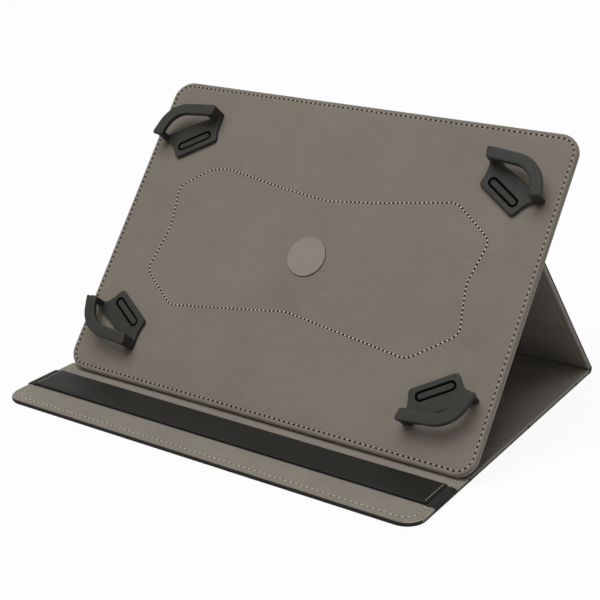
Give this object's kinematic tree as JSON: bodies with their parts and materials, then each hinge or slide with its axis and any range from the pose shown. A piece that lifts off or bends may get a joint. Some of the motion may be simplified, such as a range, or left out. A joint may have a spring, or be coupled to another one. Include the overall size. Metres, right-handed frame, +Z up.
{
  "type": "tablet folio case",
  "caption": "Black 9 to 10 inch tablet folio with grey suede lining, open as a stand: padded plate with four sprung corner clips, leg, spine, three-panel cover and elastic strap.",
  "frame": {"origin": "middle of the open cover's footprint, on the cover's underside", "axes": "+X along the spine, to the right of the person facing the tablet; +Y from the cover's free edge to the spine; +Z up"},
  "size_m": [0.2664, 0.2186, 0.1531],
  "materials": {
    "leather": "black smooth-grained synthetic leather",
    "suede": "warm grey microfibre suede",
    "board": "grey board",
    "clip_rubber": "dark grey-green rubbery plastic, satin",
    "webbing": "dark grey woven elastic",
    "elastic": "black ribbed elastic",
    "hard_plastic": "black moulded plastic",
    "steel": "plain steel"
  },
  "bodies": {
    "middle_panel": {"middle_skin": "leather", "middle_board": "board", "middle_lining": "suede"},
    "front_panel": {"front_skin": "leather", "front_board": "board", "front_lining": "suede", "strap_elastic_left": "elastic", "strap_elastic_right": "elastic"},
    "rear_panel": {"rear_skin": "leather", "rear_board": "board", "rear_lining": "suede"},
    "spine": {"spine_skin": "leather", "spine_board": "board", "spine_lining": "suede", "spine_fold_leather": "leather"},
    "leg": {"leg_skin": "leather", "leg_board": "board", "leg_lining": "suede"},
    "plate": {"top_skin": "leather", "top_board": "board", "top_lining": "suede", "crease_fold_lining": "suede", "swivel_base": "hard_plastic", "swivel_keeper": "steel", "swivel_rivet": "steel", "swivel_cap": "suede", "plate_face": "suede", "plate_core": "board", "plate_back": "suede", "band_top_left": "webbing", "band_top_right": "webbing", "band_bottom_left": "webbing", "band_bottom_right": "webbing"},
    "closing_strap": {"strap": "leather"},
    "corner_top_left": {"clip_top_left": "clip_rubber", "bar_top_left": "webbing"},
    "corner_top_right": {"clip_top_right": "clip_rubber", "bar_top_right": "webbing"},
    "corner_bottom_left": {"clip_bottom_left": "clip_rubber", "bar_bottom_left": "webbing"},
    "corner_bottom_right": {"clip_bottom_right": "clip_rubber", "bar_bottom_right": "webbing"}
  },
  "joints": [
    {"name": "front_crease", "type": "hinge", "parent": "middle_panel", "child": "front_panel", "pos_m": [0, -0.05, 0], "axis": [1, 0, 0], "range_deg": [0, 60]},
    {"name": "rear_crease", "type": "hinge", "parent": "middle_panel", "child": "rear_panel", "pos_m": [0, 0.021, 0], "axis": [-1, 0, 0], "range_deg": [0, 45]},
    {"name": "spine_crease", "type": "hinge", "parent": "rear_panel", "child": "spine", "pos_m": [0, 0.088, 0], "axis": [-1, 0, 0], "range_deg": [0, 45]},
    {"name": "leg_fold", "type": "hinge", "parent": "spine", "child": "leg", "pos_m": [0, 0.108, 0.0026], "axis": [-1, 0, 0], "range_deg": [0, 130], "deforming": ["spine_fold_leather"]},
    {"name": "stand_crease", "type": "hinge", "parent": "leg", "child": "plate", "pos_m": [0, 0.02409, 0.09637], "axis": [-1, 0, 0], "range_deg": [0, 90], "deforming": ["crease_fold_lining"]},
    {"name": "clip_pull_top_left", "type": "slide", "parent": "plate", "child": "corner_top_left", "axis": [-0.5446, 0.5161, 0.6611], "range_m": [0, 0.02], "stiffness_N_per_m": 120, "springref_m": -0.004, "deforming": ["band_top_left"]},
    {"name": "clip_pull_top_right", "type": "slide", "parent": "plate", "child": "corner_top_right", "axis": [0.5446, 0.5161, 0.6611], "range_m": [0, 0.02], "stiffness_N_per_m": 120, "springref_m": -0.004, "deforming": ["band_top_right"]},
    {"name": "clip_pull_bottom_left", "type": "slide", "parent": "plate", "child": "corner_bottom_left", "axis": [-0.5446, -0.5161, -0.6611], "range_m": [0, 0.02], "stiffness_N_per_m": 120, "springref_m": -0.004, "deforming": ["band_bottom_left"]},
    {"name": "clip_pull_bottom_right", "type": "slide", "parent": "plate", "child": "corner_bottom_right", "axis": [0.5446, -0.5161, -0.6611], "range_m": [0, 0.02], "stiffness_N_per_m": 120, "springref_m": -0.004, "deforming": ["band_bottom_right"]},
    {"name": "strap_lift", "type": "slide", "parent": "front_panel", "child": "closing_strap", "axis": [0, 0, 1], "range_m": [0, 0.012], "stiffness_N_per_m": 150, "springref_m": -0.003, "deforming": ["strap_elastic_left", "strap_elastic_right"]}
  ]
}
